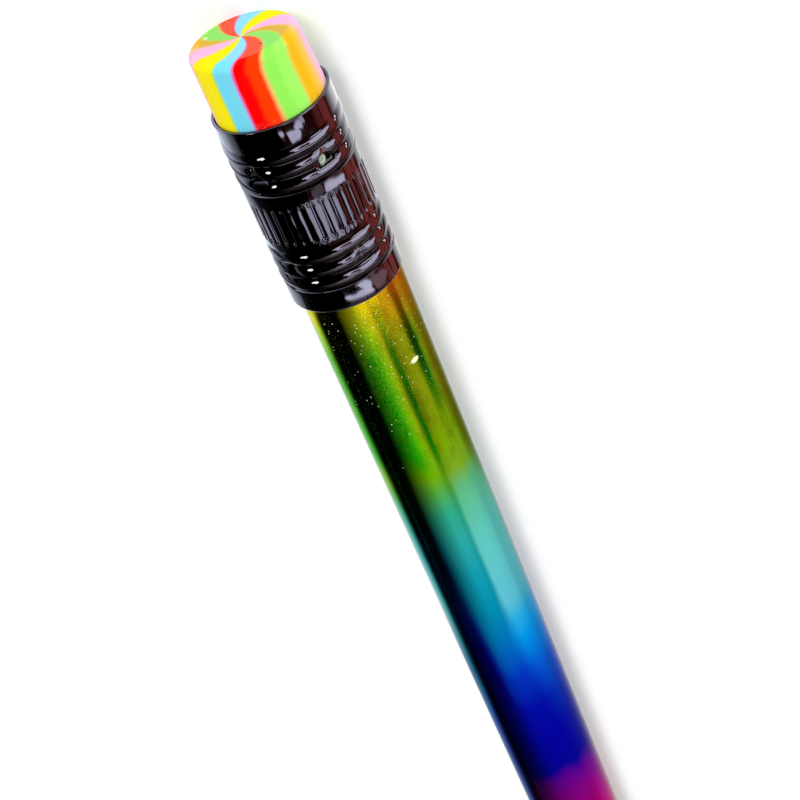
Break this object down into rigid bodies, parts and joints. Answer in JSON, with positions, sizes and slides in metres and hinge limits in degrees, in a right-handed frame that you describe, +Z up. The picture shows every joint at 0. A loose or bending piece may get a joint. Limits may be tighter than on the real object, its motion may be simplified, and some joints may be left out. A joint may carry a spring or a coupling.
{
  "type": "pencil",
  "caption": "Round wood-cased pencil, sharpened, with a metallic rainbow barrel, a gloss black crimped ferrule and a swirled multicolour eraser.",
  "frame": {"origin": "middle of the pencil's length, under the ferrule's centre line, on the surface that the pencil lies on", "axes": "+X along the pencil from the eraser to the writing tip, +Z up, +Y to the left when looking along +X"},
  "size_m": [0.19, 0.008, 0.008],
  "materials": {
    "eraser_red": "satin",
    "eraser_green": "satin",
    "eraser_orange": "satin",
    "eraser_pink": "satin",
    "eraser_yellow": "satin",
    "eraser_blue": "satin",
    "ferrule_metal": "gloss black plating",
    "rainbow_foil": "metallic rainbow foil",
    "casing_wood": "bare, cut by a sharpener",
    "graphite": "satin grey-black"
  },
  "bodies": {
    "root": {"eraser_red_1": "eraser_red", "eraser_green_1": "eraser_green", "eraser_orange_1": "eraser_orange", "eraser_pink_1": "eraser_pink", "eraser_yellow_1": "eraser_yellow", "eraser_blue_1": "eraser_blue", "eraser_red_2": "eraser_red", "eraser_green_2": "eraser_green", "eraser_orange_2": "eraser_orange", "eraser_pink_2": "eraser_pink", "eraser_yellow_2": "eraser_yellow", "eraser_blue_2": "eraser_blue", "ferrule": "ferrule_metal", "foil_jacket": "rainbow_foil", "casing_half_left": "casing_wood", "casing_half_right": "casing_wood", "graphite_core": "graphite"}
  },
  "joints": []
}
